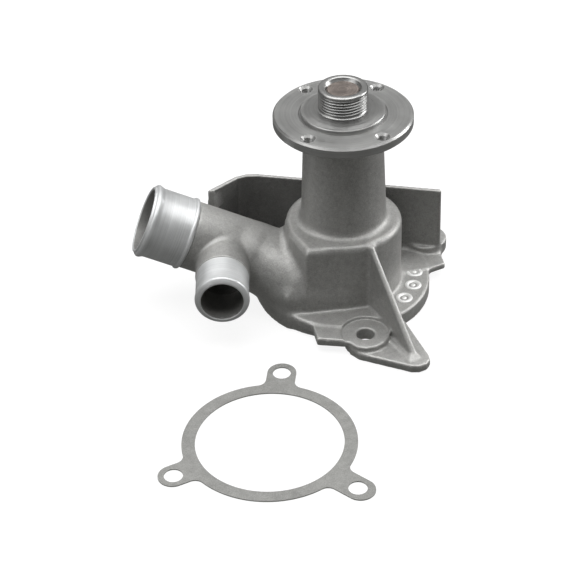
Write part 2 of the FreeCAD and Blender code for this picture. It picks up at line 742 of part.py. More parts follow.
def build_parts():
    """Every sub-part by its node name."""
    bearing_top = BEARING_BOTTOM + BEARING_LENGTH
    return {
        "housing": housing(),
        "hub_flange": hub_flange(),
        "shaft": shaft(),
        "bearing_sleeve": bearing_sleeve(),
        "bearing_shield_top": bearing_shield(bearing_top - SHIELD_INSET - SHIELD_T),
        "bearing_shield_bottom": bearing_shield(BEARING_BOTTOM + SHIELD_INSET),
        "bearing_balls": bearing_balls(),
        "ball_cage": ball_cage(),
        "bearing_rollers": bearing_rollers(),
        "roller_cage": roller_cage(),
        "slinger_ring": slinger_ring(),
        "seal_case": seal_case(),
        "seal_spring": seal_spring(),
        "seal_bellows": seal_bellows(),
        "spring_retainer": spring_retainer(),
        "carbon_face": carbon_face(),
        "mating_ring": mating_ring(),
        "mating_ring_cup": mating_ring_cup(),
        "impeller": impeller(),
        "gasket": gasket(),
    }


os.makedirs("parts", exist_ok=True)
for name, shape in build_parts().items():
    shape.exportStep("parts/" + name + ".step")
    print(name, len(shape.Solids), shape.isValid(), round(shape.Volume, 2))
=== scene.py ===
import json
import math

import bmesh
import bpy
import numpy as np
from bpy.props import FloatProperty, FloatVectorProperty, IntProperty, PointerProperty
from mathutils import Matrix, Vector


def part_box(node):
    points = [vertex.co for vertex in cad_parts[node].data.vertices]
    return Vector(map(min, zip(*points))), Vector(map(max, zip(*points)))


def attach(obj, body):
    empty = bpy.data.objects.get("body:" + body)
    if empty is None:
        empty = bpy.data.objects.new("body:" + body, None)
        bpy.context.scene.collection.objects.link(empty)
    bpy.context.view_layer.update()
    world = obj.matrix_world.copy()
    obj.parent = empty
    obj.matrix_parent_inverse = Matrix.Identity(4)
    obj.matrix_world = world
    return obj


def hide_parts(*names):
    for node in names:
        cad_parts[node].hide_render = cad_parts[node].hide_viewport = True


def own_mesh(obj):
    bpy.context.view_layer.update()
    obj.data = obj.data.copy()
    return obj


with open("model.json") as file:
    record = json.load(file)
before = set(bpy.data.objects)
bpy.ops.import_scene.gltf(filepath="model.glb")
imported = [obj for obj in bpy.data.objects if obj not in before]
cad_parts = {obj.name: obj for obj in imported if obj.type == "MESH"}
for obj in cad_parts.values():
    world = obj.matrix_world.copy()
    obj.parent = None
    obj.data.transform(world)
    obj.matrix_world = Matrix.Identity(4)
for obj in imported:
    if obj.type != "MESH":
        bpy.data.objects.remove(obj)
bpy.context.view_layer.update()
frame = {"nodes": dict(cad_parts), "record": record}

bl_info = {
    "name": "Coolant Pump Looks",
    "version": (1, 0, 0),
    "blender": (4, 5, 0),
    "location": "View3D > Sidebar > Coolant Pump",
    "description": "Builds the visible pieces and finishes of a belt-driven coolant pump on its packed frame",
    "category": "Object",
}

# Lengths inside this file are millimetres; meshes are written in metres.
MM = 0.001
MOUNTS = {mount["name"]: mount for mount in frame["record"]["mounts"]}
UP = np.array([0.0, 0.0, 1.0])


def mm(vector):
    """A point of the frame, in millimetres."""
    return np.array(vector, float) / MM


def node_box(node):
    """Lowest and highest corner of a CAD node, in millimetres."""
    low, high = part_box(node)
    return mm(low), mm(high)


# ---------------------------------------------------------------- distances of the casting's forms

def polar(radius, angle):
    """Point at this radius and angle in degrees."""
    return radius * math.cos(math.radians(angle)), radius * math.sin(math.radians(angle))


def circle(x, y, radius, centre=(0.0, 0.0)):
    """Distance to an upright round wall: length of the way from the centre, less the radius."""
    return np.hypot(x - centre[0], y - centre[1]) - radius


def path(x, y, corners):
    """Distance to an open run of straight lines: the least of the distances to its lines."""
    best = None
    for (ax, ay), (bx, by) in zip(corners[:-1], corners[1:]):
        ex, ey, px, py = bx - ax, by - ay, x - ax, y - ay
        share = np.clip((px * ex + py * ey) / (ex * ex + ey * ey), 0, 1)
        here = np.hypot(px - share * ex, py - share * ey)
        best = here if best is None else np.minimum(best, here)
    return best


def outline(x, y, corners):
    """Signed distance to a closed outline: distance to its edges, negative where a ray crosses them oddly."""
    closed = list(corners) + [corners[0]]
    odd = np.zeros(np.broadcast(x, y).shape, bool)
    for (ax, ay), (bx, by) in zip(closed[:-1], closed[1:]):
        if ay != by:
            odd ^= ((ay > y) != (by > y)) & (x < ax + (y - ay) * (bx - ax) / (by - ay))
    return np.where(odd, -1.0, 1.0) * path(x, y, closed)


def slab(flat, height, low, high, rim):
    """Flat distance carried between two heights; its rims are rounded by the last number."""
    side, level = flat + rim, np.maximum(low - height, height - high) + rim
    outside = np.hypot(np.maximum(side, 0), np.maximum(level, 0))
    return np.minimum(np.maximum(side, level), 0) + outside - rim


def along(x, y, z, base, axis):
    """Length along an axis from its base, and distance off that axis."""
    px, py, pz = x - base[0], y - base[1], z - base[2]
    run = px * axis[0] + py * axis[1] + pz * axis[2]
    return run, np.sqrt(np.maximum(px * px + py * py + pz * pz - run * run, 0))


def round_cone(x, y, z, start, end, start_r, end_r):
    """Distance to a ball that slides from start to end while its radius runs evenly from one to the other."""
    start, end = np.array(start, float), np.array(end, float)
    length = np.linalg.norm(end - start)
    run, off = along(x, y, z, start, (end - start) / length)
    lean = (start_r - end_r) / length
    share = np.clip((run + off * lean / math.sqrt(1 - lean * lean)) / length, 0, 1)
    return np.hypot(run - share * length, off) - (start_r + (end_r - start_r) * share)


def join(a, b, fillet):
    """Union of two distances, with a round fillet where they meet."""
    if fillet <= 0:
        return np.minimum(a, b)
    corner = np.hypot(np.maximum(fillet - a, 0), np.maximum(fillet - b, 0))
    return np.maximum(fillet, np.minimum(a, b)) - corner


def carve(a, b, rim):
    """First distance without the second, the rim between them rounded."""
    return -join(-a, b, rim)


# ---------------------------------------------------------------- meshes from arrays

def mesh_of(name, points, faces):
    """Mesh in metres from arrays of points in millimetres and of four-sided faces."""
    mesh = bpy.data.meshes.new(name)
    mesh.vertices.add(len(points))
    mesh.vertices.foreach_set("co", (np.asarray(points) * MM).astype(np.float32).ravel())
    mesh.loops.add(faces.size)
    mesh.loops.foreach_set("vertex_index", faces.astype(np.int32).ravel())
    mesh.polygons.add(len(faces))
    mesh.polygons.foreach_set("loop_start", np.arange(0, faces.size, 4, dtype=np.int32))
    mesh.update(calc_edges=True)
    mesh.shade_smooth()
    return mesh


def piece_of(name, mesh, material, body, *nodes, slot=None):
    """Object of a mesh that rides on a body and stands for CAD nodes."""
    piece = bpy.data.objects.new(name, mesh)
    bpy.context.scene.collection.objects.link(piece)
    mesh.materials.append(material)
    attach(piece, body)
    if nodes:
        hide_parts(*nodes)
    return piece


def skin(field, low, step):
    """Surface where a sampled distance is zero.

    Each cell that the zero level crosses gets one point, the mean of the crossings on its twelve edges.
    Each grid edge that the level crosses gets one face through its four cells, turned to the outside.
    """
    inside = field < 0
    corners = np.array([(i, j, k) for i in (0, 1) for j in (0, 1) for k in (0, 1)])
    size = np.array(field.shape) - 1
    count = np.zeros(size, np.uint8)
    for i, j, k in corners:
        count += inside[i:i + size[0], j:j + size[1], k:k + size[2]]
    cells = np.argwhere((count > 0) & (count < 8))
    values = np.stack([field[tuple((cells + corner).T)] for corner in corners], 1)
    total, hits = np.zeros((len(cells), 3)), np.zeros(len(cells))
    for a in range(8):
        for b in range(a + 1, 8):
            if np.abs(corners[a] - corners[b]).sum() == 1:
                crossed = (values[:, a] < 0) != (values[:, b] < 0)
                share = values[crossed, a] / (values[crossed, a] - values[crossed, b])
                total[crossed] += corners[a] + share[:, None] * (corners[b] - corners[a])
                hits[crossed] += 1
    points = (cells + total / hits[:, None]) * step + low
    number = np.full(size, -1, np.int64)
    number[tuple(cells.T)] = np.arange(len(cells))
    faces = []
    for axis in range(3):
        across, upward = np.eye(3, dtype=int)[(axis + 1) % 3], np.eye(3, dtype=int)[(axis + 2) % 3]
        first = inside.take(range(size[axis]), axis)
        change = first != inside.take(range(1, size[axis] + 1), axis)
        edges = np.argwhere(change)
        keep = np.all((edges > 0) & (edges < size), 1)
        edges = edges[keep]
        out = first[tuple(edges.T)]
        turn = [-across - upward, -upward, 0 * across, -across]
        quad = np.stack([number[tuple((edges + shift).T)] for shift in turn], 1)
        faces.append(np.where(out[:, None], quad, quad[:, ::-1]))
    return points, np.concatenate(faces)


def revolve(profile, turns, ripple=None):
    """Closed profile of (radius, height) carried round the axis: x = r cos t, y = r sin t, z = height.

    The ripple, a function of the turn t and the height, is added to the radius.
    """
    profile = np.array(profile, float)
    t = np.arange(turns) * (2 * math.pi / turns)
    radius = np.repeat(profile[:, :1], turns, 1)
    height = np.repeat(profile[:, 1:], turns, 1)
    if ripple is not None:
        radius = radius + ripple(t[None, :], height)
    points = np.stack([radius * np.cos(t), radius * np.sin(t), height], -1).reshape(-1, 3)
    i, j = np.meshgrid(np.arange(len(profile)), np.arange(turns), indexing="ij")
    i2, j2 = (i + 1) % len(profile), (j + 1) % turns
    faces = np.stack([i * turns + j, i * turns + j2, i2 * turns + j2, i2 * turns + j], -1).reshape(-1, 4)
    reach = np.linalg.norm(np.roll(profile, -1, 0) - profile, axis=1)
    run = np.concatenate([[0], np.cumsum(reach)])
    u = np.stack([j, j + 1, j + 1, j], -1).reshape(-1, 4) / turns
    v = np.stack([run[i], run[i], run[i + 1], run[i + 1]], -1).reshape(-1, 4)
    return points, faces, u, v


def turned_mesh(name, profile, turns=160, ripple=None, base=(0, 0, 0), axis=UP, smooth_angle=30,
                bore_from=None):
    """Revolved mesh laid on an axis, with its turn in UV and its own lathe coordinates as an attribute.

    Faces from one profile point onwards can take the second material, for a bore that keeps the cast finish,
    there darkened as painted shade.
    """
    points, faces, u, v = revolve(profile, turns, ripple)
    mesh = mesh_of(name, points, faces)
    if bore_from is not None:
        in_bore = np.arange(len(faces)) // turns >= bore_from
        mesh.polygons.foreach_set("material_index", in_bore.astype(np.int32))
    layer = mesh.uv_layers.new(name="turn")
    layer.data.foreach_set("uv", np.stack([u.ravel(), v.ravel() * MM], 1).astype(np.float32).ravel())
    lathe = mesh.attributes.new("lathe", "FLOAT_VECTOR", "POINT")
    lathe.data.foreach_set("vector", (points * MM).astype(np.float32).ravel())
    lean = Vector(UP).rotation_difference(Vector(axis)).to_matrix().to_4x4()
    mesh.transform(Matrix.Translation(Vector(base) * MM) @ lean)
    work = bmesh.new()
    work.from_mesh(mesh)
    bmesh.ops.remove_doubles(work, verts=work.verts, dist=1e-7)
    bmesh.ops.dissolve_degenerate(work, edges=work.edges, dist=1e-7)
    work.to_mesh(mesh)
    work.free()
    mesh.shade_smooth()
    mesh.set_sharp_from_angle(angle=math.radians(smooth_angle))
    return mesh


def arc(centre, radius, start, end, count=7):
    """Points of an arc in a profile, from one angle to another in degrees."""
    t = np.radians(np.linspace(start, end, count))
    return list(zip(centre[0] + radius * np.cos(t), centre[1] + radius * np.sin(t)))


# ---------------------------------------------------------------- finishes

def times(colour, factor):
    """Colour made darker or lighter by a factor, and no lighter than white."""
    return tuple(min(1.0, factor * c) for c in colour)


class Finish:
    """Node material with short calls for adding and linking nodes."""

    def __init__(self, name, **values):
        self.material = bpy.data.materials.new(name)
        self.material.use_nodes = True
        self.tree = self.material.node_tree
        self.shader = self.tree.nodes["Principled BSDF"]
        self.put(self.shader, values)

    def put(self, node, values):
        """Links each value that is a socket and sets each one that is not."""
        for key, value in values.items():
            socket = node.inputs[key if isinstance(key, int) else key.replace("_", " ")]
            if isinstance(value, bpy.types.NodeSocket):
                self.tree.links.new(value, socket)
            elif socket.type == "RGBA" and len(value) == 3:
                socket.default_value = (*value, 1.0)
            else:
                socket.default_value = value

    def add(self, kind, values=None, **settings):
        node = self.tree.nodes.new("ShaderNode" + kind)
        for key, value in settings.items():
            setattr(node, key, value)
        self.put(node, values or {})
        return node

    def place(self):
        """Object coordinates, in metres."""
        return self.add("TexCoord").outputs["Object"]

    def math(self, kind, a, b=0.0):
        return self.add("Math", {0: a, 1: b}, operation=kind).outputs[0]

    def weighed(self, *parts):
        """Sum of values, each times its weight."""
        total = 0.0
        for value, weight in parts:
            total = self.math("ADD", total, self.math("MULTIPLY", value, weight))
        return total

    def noise(self, where, scale, detail=3.0, rough=0.55):
        values = {"Vector": where, "Scale": scale, "Detail": detail, "Roughness": rough}
        return self.add("TexNoise", values).outputs["Fac"]

    def rings(self, where, around, across, rough=0.6):
        """Noise drawn out round Z into rings: coarse along the turn, fine along radius plus height."""
        x, y, z = self.add("SeparateXYZ", {"Vector": where}).outputs
        squares = self.math("ADD", self.math("MULTIPLY", x, x), self.math("MULTIPLY", y, y))
        level = self.math("ADD", self.math("SQRT", squares), z)
        drawn = {"X": self.math("MULTIPLY", x, around), "Y": self.math("MULTIPLY", y, around),
                 "Z": self.math("MULTIPLY", level, across)}
        return self.noise(self.add("CombineXYZ", drawn).outputs[0], 1.0, 2.0, rough)

    def edges(self):
        """Above a half on raised edges, below it in hollows."""
        return self.add("NewGeometry").outputs["Pointiness"]

    def spread(self, value, low, high, to_low=0.0, to_high=1.0):
        """Value carried from one span to another, and held inside it."""
        return self.add("MapRange", {"Value": value, "From_Min": low, "From_Max": high,
                                     "To_Min": to_low, "To_Max": to_high}).outputs["Result"]

    def mix(self, share, a, b, way="MIX"):
        """Colour a turned towards colour b, or multiplied by it, by a share."""
        return self.add("Mix", {0: share, 6: a, 7: b}, data_type="RGBA", blend_type=way).outputs[2]

    def bumps(self, *layers):
        """Stacks bump layers of (height, strength, distance in metres)."""
        normal = None
        for height, strength, distance in layers:
            values = {"Height": height, "Strength": strength, "Distance": distance}
            if normal is not None:
                values["Normal"] = normal
            normal = self.add("Bump", values).outputs["Normal"]
        self.put(self.shader, {"Normal": normal})


def blasted_aluminium(name, colour):
    """Shot-blasted casting: fine grain and soft patches, raised edges made lighter (partly wear, partly
    painted highlight) and hollows made darker as painted shade.

    Where the vertex attribute read below is one, the colour is darkened: painted shade on the shield wall's
    front, and at about half strength inside the necks.
    """
    cast = Finish(name, Metallic=0.5)
    place = cast.place()
    grain = cast.noise(place, 1500.0, 4.0, 0.7)
    patch = cast.noise(place, 55.0, 3.0, 0.6)
    mottle = cast.noise(place, 420.0, 3.0, 0.6)
    tone = cast.spread(cast.weighed((patch, 0.14), (mottle, 0.26), (grain, 0.60)), 0.36, 0.64)
    # Raised edges turn lighter, partly wear and partly painted highlight; hollows turn darker, painted shade.
    crest_wear_and_highlight, hollow_shade = cast.spread(cast.edges(), 0.515, 0.585), cast.spread(cast.edges(), 0.47, 0.38)
    base = cast.mix(tone, times(colour, 0.74), times(colour, 1.26))
    base = cast.mix(cast.math("MULTIPLY", crest_wear_and_highlight, 0.8), base, times(colour, 1.6))
    base = cast.mix(cast.math("MULTIPLY", hollow_shade, 0.4), base, (0.45, 0.45, 0.44), "MULTIPLY")
    # Painted shade: this vertex attribute darkens the colour on the shield wall's front and inside the necks.
    shade_share = cast.add("Attribute", attribute_name="cast_skin").outputs["Fac"]
    cast.put(cast.shader, {
        "Base_Color": cast.mix(shade_share, base, (0.40, 0.40, 0.40), "MULTIPLY"),
        "Roughness": cast.spread(cast.math("ADD", grain, patch), 0.7, 1.3, 0.38, 0.54)})
    cast.bumps((grain, 0.60, 0.00020), (mottle, 0.20, 0.00022))
    return cast.material


def turned_metal(name, colour, roughness, anisotropy, mark=0.5, metallic=1.0):
    """Lathe-turned metal: fine rings that follow the tool round the axis, and a sheen across them."""
    metal = Finish(name, Metallic=metallic, Anisotropic=anisotropy, Anisotropic_Rotation=0.25)
    lathe = metal.add("Attribute", attribute_name="lathe").outputs["Vector"]
    fine, band = metal.rings(lathe, 14.0, 2600.0), metal.rings(lathe, 30.0, 500.0, 0.5)
    stain = metal.noise(lathe, 90.0, 4.0, 0.6)
    worn = metal.math("MULTIPLY", metal.spread(metal.edges(), 0.51, 0.58), 0.6)
    tone = metal.spread(metal.weighed((fine, 0.6), (stain, 0.4)), 0.36, 0.64)
    base = metal.mix(tone, times(colour, 0.82), times(colour, 1.1))
    metal.put(metal.shader, {
        "Base_Color": metal.mix(worn, base, times(colour, 1.25)),
        "Roughness": metal.spread(metal.math("ADD", fine, stain), 0.7, 1.3,
                                  roughness * 0.8, roughness * 1.25),
        "Tangent": metal.add("Tangent", direction_type="UV_MAP", uv_map="turn").outputs[0]})
    metal.bumps((fine, 0.16 * mark, 0.00004), (band, 0.10 * mark, 0.00006))
    return metal.material


def plain_metal(name, colour, roughness, across=700.0, metallic=1.0):
    """Ground or pressed metal on a solid from the frame: streaks round the shaft and light staining."""
    metal = Finish(name, Metallic=metallic)
    place = metal.place()
    marks, stain = metal.rings(place, 40.0, across), metal.noise(place, 260.0, 4.0, 0.65)
    tone = metal.spread(metal.weighed((marks, 0.5), (stain, 0.5)), 0.36, 0.64)
    metal.put(metal.shader, {
        "Base_Color": metal.mix(tone, times(colour, 0.7), times(colour, 1.2)),
        "Roughness": metal.spread(stain, 0.35, 0.65, roughness * 0.8, roughness * 1.3)})
    metal.bumps((marks, 0.2, 0.00008), (stain, 0.15, 0.0002))
    return metal.material


def moulded(name, colour, roughness, grain=900.0, specular=0.4):
    """Rubber, polymer, carbon or ceramic: fine grain with faint dusting."""
    soft = Finish(name, Metallic=0.0, Specular_IOR_Level=specular)
    place = soft.place()
    fine, dust = soft.noise(place, grain, 4.0, 0.6), soft.noise(place, 140.0, 4.0, 0.6)
    tone = soft.spread(soft.math("ADD", fine, dust), 0.75, 1.25)
    dusted = tuple(min(1.0, 1.3 * c + 0.01) for c in colour)
    soft.put(soft.shader, {
        "Base_Color": soft.mix(tone, times(colour, 0.75), dusted),
        "Roughness": soft.spread(dust, 0.3, 0.7, roughness * 0.85, min(1.0, roughness * 1.15))})
    soft.bumps((fine, 0.3, 0.00008), (dust, 0.15, 0.0003))
    return soft.material


def pressed_fibre(colour):
    """Gasket sheet: pressed fibres with dark and pale specks, paler wherever it does not face up."""
    sheet = Finish("gasket_pressed_fibre", Metallic=0.0, Specular_IOR_Level=0.3)
    place = sheet.place()
    specks = sheet.noise(place, 1500.0, 5.0, 0.75)
    clumps = sheet.noise(place, 260.0, 4.0, 0.6)
    wear = sheet.noise(place, 40.0, 2.0, 0.5)
    cells = sheet.add("TexVoronoi", {"Vector": place, "Scale": 900.0}, feature="F1").outputs["Distance"]
    tone = sheet.spread(sheet.weighed((specks, 0.6), (clumps, 0.25), (wear, 0.15)), 0.38, 0.62)
    base = sheet.mix(tone, times(colour, 0.70), times(colour, 1.25))
    base = sheet.mix(sheet.spread(cells, 0.12, 0.05, 0.0, 0.5), base, times(colour, 0.45))
    upward = sheet.add("SeparateXYZ", {"Vector": sheet.add("NewGeometry").outputs["Normal"]}).outputs[2]
    sheet.put(sheet.shader, {
        "Base_Color": sheet.mix(sheet.spread(upward, 0.6, 0.2), base, times(colour, 1.7)),
        "Roughness": sheet.spread(clumps, 0.3, 0.7, 0.62, 0.8)})
    sheet.bumps((specks, 0.5, 0.0001), (clumps, 0.3, 0.0002))
    return sheet.material


# ---------------------------------------------------------------- settings

def length_setting(name, description, default, low=0.0, high=0.5):
    return FloatProperty(name=name, description=description, default=default, min=low, max=high,
                         subtype="DISTANCE", unit="LENGTH", precision=5)


def colour_setting(name, description, default):
    return FloatVectorProperty(name=name, description=description, default=default, size=3, min=0.0, max=1.0,
                               subtype="COLOR")


def power_setting(name, description, default):
    return FloatProperty(name=name, description=description, default=default, min=0, max=500,
                         subtype="POWER", unit="POWER")


class CastingSettings(bpy.types.PropertyGroup):
    """Sizes and colour of the cast housing."""
    grid: length_setting("Grid", "Spacing of the grid that the casting's surface is worked out on",
                         0.00066, 0.0004, 0.003)
    tower_fillet: length_setting("Tower Fillet", "Fillet at the foot of the bearing tower", 0.0036)
    shoulder_round: length_setting("Shoulder Round", "Rounding of the drum's shoulder", 0.0036)
    neck_fillet: length_setting("Neck Fillet", "Fillet between the large neck and the body", 0.0065)
    wall_thickness: length_setting("Wall Thickness", "Thickness of the shield wall at its middle height",
                                   0.0026)
    triangles: IntProperty(name="Triangles", description="Most triangles of the casting",
                           default=185000, min=20000, max=199000)
    colour: colour_setting("Cast Colour", "Mean colour of the blasted aluminium", (0.37, 0.368, 0.358))


class TurnedSettings(bpy.types.PropertyGroup):
    """Sizes and colours of the turned surfaces."""
    thread_pitch: length_setting("Thread Pitch", "Pitch of the nose thread", 0.0015, 0.0005, 0.004)
    thread_depth: length_setting("Thread Depth", "Depth of the nose thread", 0.0009, 0.0, 0.002)
    steel: colour_setting("Steel", "Colour of the turned steel flange and nose", (0.34, 0.34, 0.335))
    aluminium: colour_setting("Turned Aluminium", "Colour of the turned hose ends", (0.65, 0.66, 0.665))


class GasketSettings(bpy.types.PropertyGroup):
    """Colour of the loose gasket."""
    colour: colour_setting("Fibre Colour", "Mean colour of the pressed fibre sheet", (0.235, 0.235, 0.226))


class StageSettings(bpy.types.PropertyGroup):
    """Camera, lights and floor."""
    lens: FloatProperty(name="Lens", description="Focal length of the camera", default=115.5, min=20, max=300,
                        subtype="DISTANCE_CAMERA")
    key_power: power_setting("Key Power", "Power of the overhead soft light", 33.5)
    side_power: power_setting("Side Power", "Power of the soft light on the left", 3.6)
    back_power: power_setting("Back Power", "Power of the soft light behind the pump", 3.4)
    floor_colour: colour_setting("Floor Colour", "Colour of the plain floor", (0.16, 0.16, 0.16))


# ---------------------------------------------------------------- the casting

def neck_line(mount):
    """Mouth and outward axis of a hose neck, from its mount."""
    return mm(MOUNTS[mount]["pos_m"]), np.array(MOUNTS[mount]["axis"], float)


LARGE_MOUTH, LARGE_AXIS = neck_line("large_hose_neck")
SMALL_MOUTH, SMALL_AXIS = neck_line("small_hose_neck")
LARGE_LENGTH, LARGE_TURNED, LARGE_CAST_R = 109.0, 22.5, 17.2
LARGE_BASE = LARGE_MOUTH - LARGE_AXIS * LARGE_LENGTH
LARGE_ROOT = LARGE_LENGTH - LARGE_TURNED - 1.3
SMALL_LENGTH, SMALL_TURNED, SMALL_CAST_R, SMALL_BORE_R = 46.9, 19.5, 13.5, 10.4
SMALL_BASE = SMALL_MOUTH - SMALL_AXIS * SMALL_LENGTH
SMALL_ROOT = SMALL_LENGTH - SMALL_TURNED
FRONT_EAR, RIGHT_EAR, LEFT_EAR = EARS = [
    mm(MOUNTS["block_bolt_" + name]["pos_m"])[:2] for name in ("front", "right", "left")]
BOLT_R = MOUNTS["block_bolt_front"]["dims"]["r_mm"]
TOWER_TOP = node_box("housing")[1][2]
# The flat front face is the line y = FACE_Y + FACE_SLOPE * x.
FACE_Y, FACE_SLOPE = -28.6, 0.125
DRUM_R, BOWL_R = 29.0, 43.5
LEDGE, BOWL_TOP, SHOULDER_TOP = 8.0, 20.5, 45.0
PLATE_LOW, WALL_TOP, EAR_TOP, BOSS_TOP, FOOT_TOP = 4.6, 45.1, 7.2, 11.5, 4.3
BELOW, FAR_OUT = -9.0, 60.0
WALL_LINE = ((49.3, 20.0), (-43.0, 39.1), (-48.6, 39.2), (-54.0, 37.0), (-68.5, 24.0))
WALL_END = 25.3
GUSSET_HEAD, GUSSET_TOE = np.array((13.0, -27.5)), np.array((32.0, -64.5))
BACK_PLATE = ((29.0, 0), (45.0, 4.1), (52.3, 7.8), (51.0, 16.0), (49.3, 20.0), (49.3, 22.6), (-45.0, 41.5),
              (-51.8, 40.9), (-67.3, 25.2), (-29.0, 0))
EAR_WEB = ((-28.7, -32.2), (-17.3, -41.2), (-15.3, -52.3), (1.1, -54.8), (4.0, -58.6), (8.5, -59.8),
           (13.5, -58.6), (17.5, -55.6), (20.4, -50.3), (14.8, -14.3), (0, -14.3))
FOOT_PLATE = ((12.2, -40.0), (0.8, -55.6), (4.4, -60.0), (29.6, -71.1), (33.5, -71.3), (37.0, -69.4),
              (39.0, -66.0), (38.6, -62.5), (28.7, -34.0))
VOLUTE_PASSAGE = ((-34, -13.4), (0, -13.4), (0, 10.6), (-34, 10.6))
# Radius and height of the room for the impeller, seal and bearing.
CAVITY = ((-1, BELOW), (35.0, BELOW), (35.0, 5.6), (25.2, 5.6), (25.2, 17.0), (18.2, 17.0), (18.2, 38.0),
          (12.5, 38.0), (12.5, 43.0), (15.0, 43.0), (15.0, 120.0), (-1, 120.0))


def face_y(x):
    return FACE_Y + FACE_SLOPE * x


def tower_distance(x, y, z):
    """Tapered tower: distance off the axis less a radius that falls evenly with height."""
    radius = 21.3 - (z - SHOULDER_TOP) * (1.9 / 51.5)
    return slab(np.hypot(x, y) - radius, z, 10.0, TOWER_TOP, 0.7)


def drum_distance(x, y, z, shoulder):
    """Round drum joined to a flat-fronted block, carried up to the shoulder."""
    block = outline(x, y, ((0, 0), (-28.8, 0), (-27.8, -14.5), (-19.5, face_y(-19.5)), (12.2, face_y(12.2))))
    return slab(join(circle(x, y, DRUM_R), block, 2.0), z, BELOW, SHOULDER_TOP, shoulder)


def bowl_wall_distance(x, y, z):
    """Tall part of the bowl: the bowl's circle inside a sector that takes in the large neck."""
    sector = outline(x, y, ((0, 0), (0, -28.6), (-90, face_y(-90)), (-90, 90), polar(120, 130)))
    return slab(np.maximum(circle(x, y, BOWL_R), sector), z, BELOW, BOWL_TOP, 5.0)


def neck_distance(x, y, z, base, axis, low, high, radius):
    """Straight pipe along an axis."""
    run, off = along(x, y, z, base, axis)
    return slab(off - radius, run, low, high, 0.3)


def large_bore(x, y, z):
    """Bore of the large neck, a little wider towards its mouth."""
    run, off = along(x, y, z, LARGE_BASE, LARGE_AXIS)
    return slab(off - (14.0 + (run - 30.0) * 0.02), run, 30.0, LARGE_LENGTH + 3, 0.3)


def gusset_distance(x, y, z):
    """Upright rib: a five-cornered outline in its own plane, given a thickness that grows downwards."""
    length = np.linalg.norm(GUSSET_TOE - GUSSET_HEAD)
    ux, uy = (GUSSET_TOE - GUSSET_HEAD) / length
    run = (x - GUSSET_HEAD[0]) * ux + (y - GUSSET_HEAD[1]) * uy
    off = np.abs((y - GUSSET_HEAD[1]) * ux - (x - GUSSET_HEAD[0]) * uy)
    side = outline(run, z, ((-9.0, -3.0), (-9.0, 43.6), (0.0, 43.6), (length, 4.6), (length, -3.0)))
    return slab(side, off, -9.0, 1.25 + 0.012 * (44.0 - z), 1.1)


def wall_distance(x, y, z, thickness):
    """Thin wall along a bent line, a little thicker at its foot, cut off square to Y at its left end."""
    half = thickness / 2 + (25.0 - z) * 0.008
    flat = np.maximum(path(x, y, WALL_LINE) - half, WALL_END - y - 60.0 * (x > -60))
    return slab(flat, z, PLATE_LOW, WALL_TOP, 0.45)


def boss_distance(x, y, z, place):
    """Boss that widens upwards: distance off its centre less a radius that grows with height."""
    return slab(circle(x, y, np.clip(7.6 + z * 0.6, 7.6, 10.9), place), z, -5, BOSS_TOP, 0.8)


def plate(corners, low, high, rim):
    """Form of an outline carried between two heights."""
    return lambda x, y, z: slab(outline(x, y, corners), z, low, high, rim)


def post(centre, radius, low, high, rim):
    """Form of a circle carried between two heights."""
    return lambda x, y, z: slab(circle(x, y, radius, centre), z, low, high, rim)


def pipe(base, axis, high, radius):
    """Form of a straight pipe from its base to a length along its axis."""
    return lambda x, y, z: neck_distance(x, y, z, base, axis, 0, high, radius)


def bar(start, end, start_r, end_r):
    """Form of a round-ended bar between two points."""
    return lambda x, y, z: round_cone(x, y, z, start, end, start_r, end_r)


